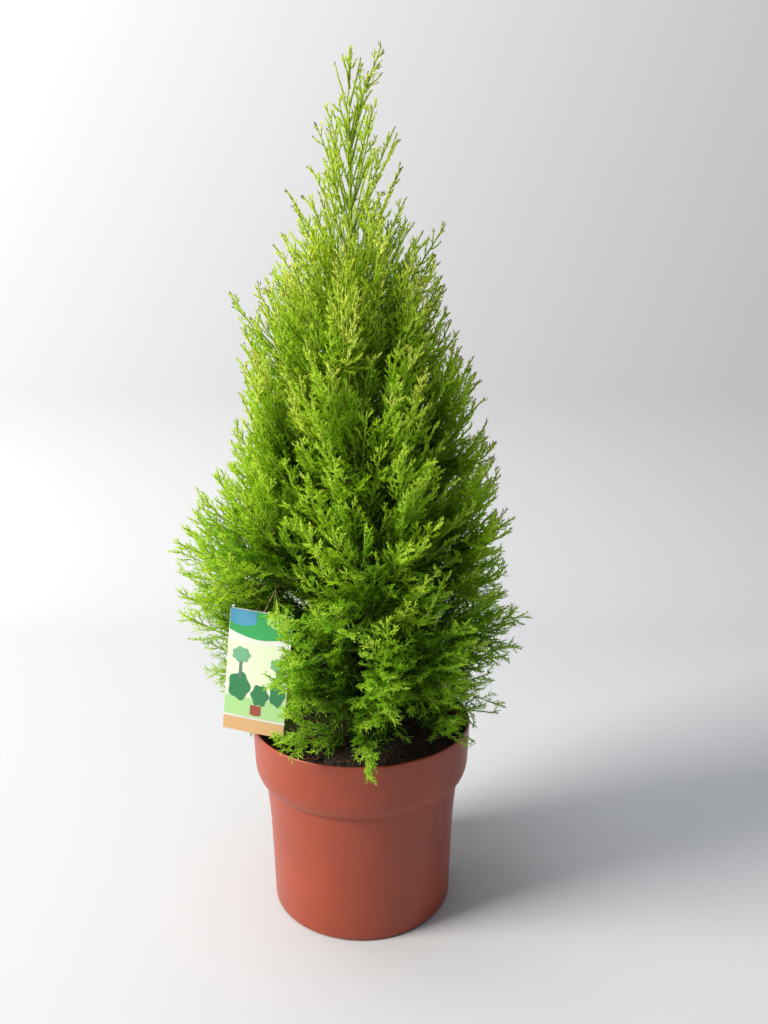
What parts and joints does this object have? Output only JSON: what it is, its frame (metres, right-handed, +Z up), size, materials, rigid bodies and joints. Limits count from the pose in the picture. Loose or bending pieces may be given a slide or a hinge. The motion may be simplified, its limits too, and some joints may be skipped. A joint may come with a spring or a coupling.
{
  "type": "potted lemon cypress",
  "caption": "Young potted conifer with a narrow cone of fine yellow-green needle sprays on a straight trunk, in a tapered round plastic pot, with a hanging card.",
  "frame": {"origin": "centre of the pot's flat underside", "axes": "+Z up along the pot's axis and the trunk, -Y towards the viewer, +X to the viewer's right"},
  "size_m": [0.326, 0.2978, 0.785],
  "materials": {
    "terracotta_plastic": "satin moulded plastic, terracotta colour",
    "peat_soil": "moist crumbly potting soil",
    "bark": "thin ridged bark",
    "label_card": "printed plastic card",
    "foliage_skirt": "small green needles",
    "foliage_low": "small green needles",
    "foliage_broad": "small green needles",
    "foliage_mid": "small green needles",
    "foliage_high": "small green needles",
    "foliage_upper": "small green needles",
    "foliage_top": "small green needles",
    "foliage_leader": "small green needles"
  },
  "bodies": {
    "root": {"pot": "terracotta_plastic", "soil": "peat_soil", "trunk": "bark", "plant_tag": "label_card", "bough_skirt_1": "bark", "bough_skirt_2": "bark", "bough_skirt_3": "bark", "bough_skirt_4": "bark", "bough_skirt_5": "bark", "bough_low_1": "bark", "bough_low_2": "bark", "bough_low_3": "bark", "bough_low_4": "bark", "bough_low_5": "bark", "bough_broad_1": "bark", "bough_broad_2": "bark", "bough_broad_3": "bark", "bough_broad_4": "bark", "bough_broad_5": "bark", "bough_mid_1": "bark", "bough_mid_2": "bark", "bough_mid_3": "bark", "bough_mid_4": "bark", "mass_skirt_1": "foliage_skirt", "mass_skirt_2": "foliage_skirt", "mass_skirt_3": "foliage_skirt", "mass_skirt_4": "foliage_skirt", "mass_skirt_5": "foliage_skirt", "mass_low_1": "foliage_low", "mass_low_2": "foliage_low", "mass_low_3": "foliage_low", "mass_low_4": "foliage_low", "mass_low_5": "foliage_low", "mass_broad_1": "foliage_broad", "mass_broad_2": "foliage_broad", "mass_broad_3": "foliage_broad", "mass_broad_4": "foliage_broad", "mass_broad_5": "foliage_broad", "mass_mid_1": "foliage_mid", "mass_mid_2": "foliage_mid", "mass_mid_3": "foliage_mid", "mass_mid_4": "foliage_mid", "mass_high_1": "foliage_high", "mass_high_2": "foliage_high", "mass_high_3": "foliage_high", "mass_high_4": "foliage_high", "mass_upper_1": "foliage_upper", "mass_upper_2": "foliage_upper", "mass_upper_3": "foliage_upper", "mass_top_1": "foliage_top", "mass_top_2": "foliage_top", "mass_top_3": "foliage_top", "mass_leader": "foliage_leader"}
  },
  "joints": []
}
